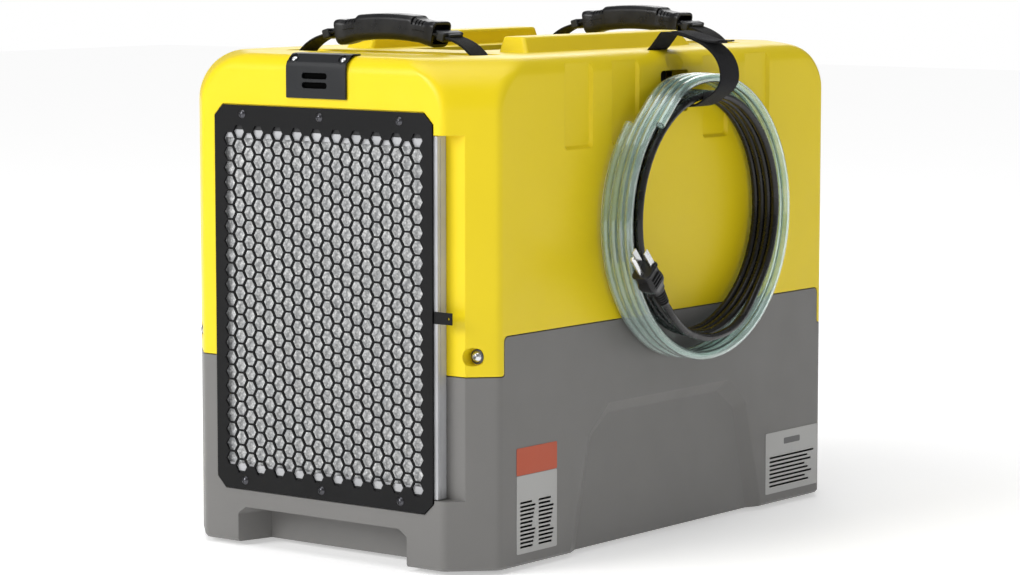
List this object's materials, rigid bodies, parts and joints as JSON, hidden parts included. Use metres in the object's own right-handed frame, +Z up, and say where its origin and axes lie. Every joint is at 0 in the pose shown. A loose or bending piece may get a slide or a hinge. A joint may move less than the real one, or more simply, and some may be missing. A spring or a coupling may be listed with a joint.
{
  "type": "dehumidifier",
  "caption": "Portable refrigerant dehumidifier: a chamfered moulded cabinet on a tub base, with strap handles, a slide-out intake filter and a strapped cord and hose coil on its side.",
  "frame": {"origin": "on the floor below the middle of the cabinet, with the moulded underside one foot height above it", "axes": "+Z up; -Y out of the air intake; +X out of the side that carries the cord and hose coil"},
  "size_m": [0.4185, 0.6184, 0.488],
  "materials": {
    "yellow_shell": "fine moulded grain",
    "grey_shell": "fine moulded grain",
    "black_plastic": "fine grain",
    "grip": "soft moulded grip",
    "webbing": "woven webbing",
    "hook_strap": "hook-and-loop webbing",
    "screw_black": "black oxide",
    "screw_steel": "zinc plated",
    "filter_frame": "plain",
    "filter_media": "fibrous",
    "foot_rubber": "matt",
    "panel": "smooth",
    "window": "clear tinted",
    "button_red": "smooth",
    "button_grey": "smooth",
    "circuit": "solder mask",
    "sheet_metal": "galvanised",
    "fan_blade": "moulded",
    "shaft": "ground",
    "motor": "satin",
    "fins": "bright",
    "copper": "bare copper",
    "pan": "moulded",
    "compressor": "black enamel",
    "tank": "translucent natural",
    "white_plastic": "moulded",
    "capacitor": "drawn can",
    "clear_hose": "clear vinyl",
    "cord": "smooth jacket",
    "plug": "moulded",
    "label": "printed film"
  },
  "bodies": {
    "cabinet": {"upper_housing": "yellow_shell", "base_housing": "grey_shell", "housing_bolts": "screw_steel", "rubber_feet": "foot_rubber", "intake_grille": "black_plastic", "grille_screws": "screw_black", "sensor_cover": "black_plastic", "sensor_cover_screws": "screw_steel", "sensor_board": "circuit", "coil_strap": "hook_strap", "control_panel": "panel", "display_window": "window", "control_board": "circuit", "outlet_grille": "black_plastic", "outlet_screws": "screw_black", "fan_bulkhead": "sheet_metal", "fan_motor": "motor", "motor_bracket": "sheet_metal", "evaporator_fins": "fins", "evaporator_tubes": "copper", "condenser_fins": "fins", "condenser_tubes": "copper", "coil_end_plates": "sheet_metal", "drain_pan": "pan", "compressor": "compressor", "compressor_grommets": "foot_rubber", "compressor_bolts": "screw_steel", "accumulator": "compressor", "refrigerant_lines": "copper", "filter_drier": "copper", "pump_tank": "tank", "pump_motor": "motor", "pump_hose": "clear_hose", "run_capacitor": "capacitor", "drain_outlet": "white_plastic", "cord_gland": "black_plastic", "power_cord_lead": "cord", "power_cord_coil": "cord", "power_cord_tail": "cord", "power_plug": "plug", "drain_hose_coil": "clear_hose", "side_labels": "label"},
    "filter": {"filter_frame": "filter_frame", "filter_media": "filter_media", "filter_pull_tab": "black_plastic"},
    "front_handle": {"front_handle_grip": "grip", "front_handle_strap": "webbing", "front_handle_collars": "black_plastic", "front_handle_stops": "sheet_metal"},
    "rear_handle": {"rear_handle_grip": "grip", "rear_handle_strap": "webbing", "rear_handle_collars": "black_plastic", "rear_handle_stops": "sheet_metal"},
    "power_button": {"power_button": "button_red"},
    "mode_button": {"mode_button": "button_grey"},
    "up_button": {"up_button": "button_grey"},
    "down_button": {"down_button": "button_grey"},
    "fan": {"fan_impeller": "fan_blade", "fan_shaft": "shaft"},
    "float": {"pump_float": "white_plastic"}
  },
  "joints": [
    {"name": "filter_slide", "type": "slide", "parent": "cabinet", "child": "filter", "axis": [1, 0, 0], "range_m": [0, 0.26]},
    {"name": "front_handle_lift", "type": "slide", "parent": "cabinet", "child": "front_handle", "axis": [0, 0, 1], "range_m": [0, 0.008]},
    {"name": "rear_handle_lift", "type": "slide", "parent": "cabinet", "child": "rear_handle", "axis": [0, 0, 1], "range_m": [0, 0.008]},
    {"name": "power_button_press", "type": "slide", "parent": "cabinet", "child": "power_button", "axis": [0, 0, -1], "range_m": [0, 0.001], "stiffness_N_per_m": 1500, "springref_m": -0.0004},
    {"name": "mode_button_press", "type": "slide", "parent": "cabinet", "child": "mode_button", "axis": [0, 0, -1], "range_m": [0, 0.001], "stiffness_N_per_m": 1500, "springref_m": -0.0004},
    {"name": "up_button_press", "type": "slide", "parent": "cabinet", "child": "up_button", "axis": [0, 0, -1], "range_m": [0, 0.001], "stiffness_N_per_m": 1500, "springref_m": -0.0004},
    {"name": "down_button_press", "type": "slide", "parent": "cabinet", "child": "down_button", "axis": [0, 0, -1], "range_m": [0, 0.001], "stiffness_N_per_m": 1500, "springref_m": -0.0004},
    {"name": "fan_spin", "type": "hinge", "parent": "cabinet", "child": "fan", "pos_m": [0, 0.2, 0.3], "axis": [0, 1, 0], "continuous": true},
    {"name": "float_rise", "type": "slide", "parent": "cabinet", "child": "float", "axis": [0, 0, 1], "range_m": [0, 0.025]}
  ]
}
